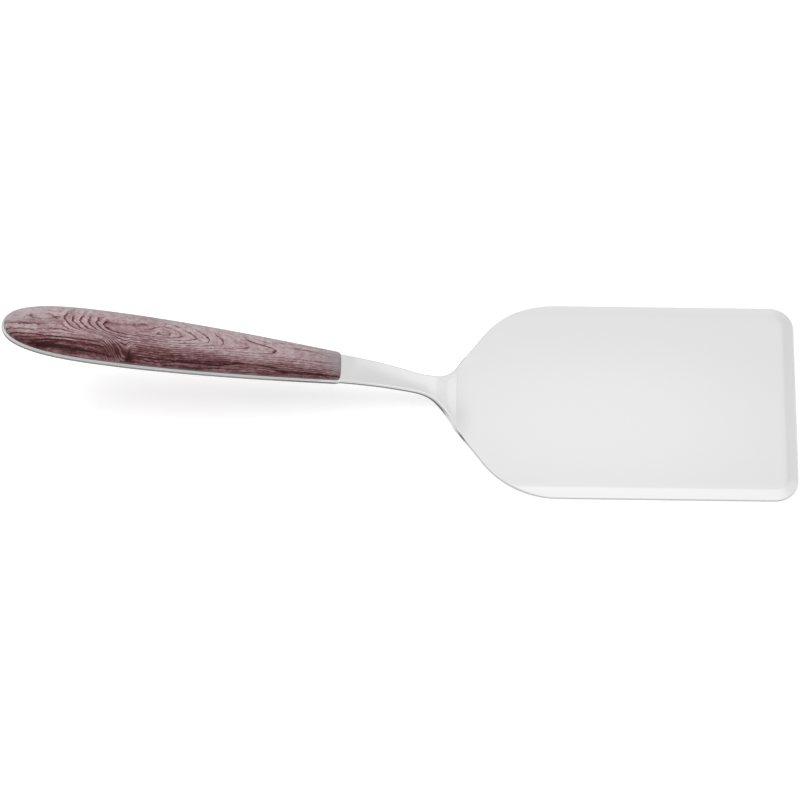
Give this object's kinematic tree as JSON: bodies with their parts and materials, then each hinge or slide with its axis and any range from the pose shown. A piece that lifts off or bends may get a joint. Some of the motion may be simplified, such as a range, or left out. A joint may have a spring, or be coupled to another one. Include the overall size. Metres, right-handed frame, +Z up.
{
  "type": "lasagna server",
  "caption": "Wide flat stainless steel serving blade with bevelled edges and round front corners, a cranked neck, and a wooden handle built of scales on a full-length tang.",
  "frame": {"origin": "on the plane of the blade's flat underside, under the middle of the overall length and width", "axes": "+X towards the front edge of the blade, +Y to the server's left as seen from behind the handle, +Z up away from the flat underside; the handle rises towards -X"},
  "size_m": [0.3004, 0.0846, 0.0568],
  "materials": {
    "stainless_steel": "polished to a soft satin gloss",
    "handle_wood": "purple-brown hardwood with dark figure, oiled satin",
    "pin_steel": "turned, plain"
  },
  "bodies": {
    "root": {"steel_body": "stainless_steel", "upper_scale": "handle_wood", "lower_scale": "handle_wood", "front_pin": "pin_steel", "middle_pin": "pin_steel", "rear_pin": "pin_steel"}
  },
  "joints": []
}
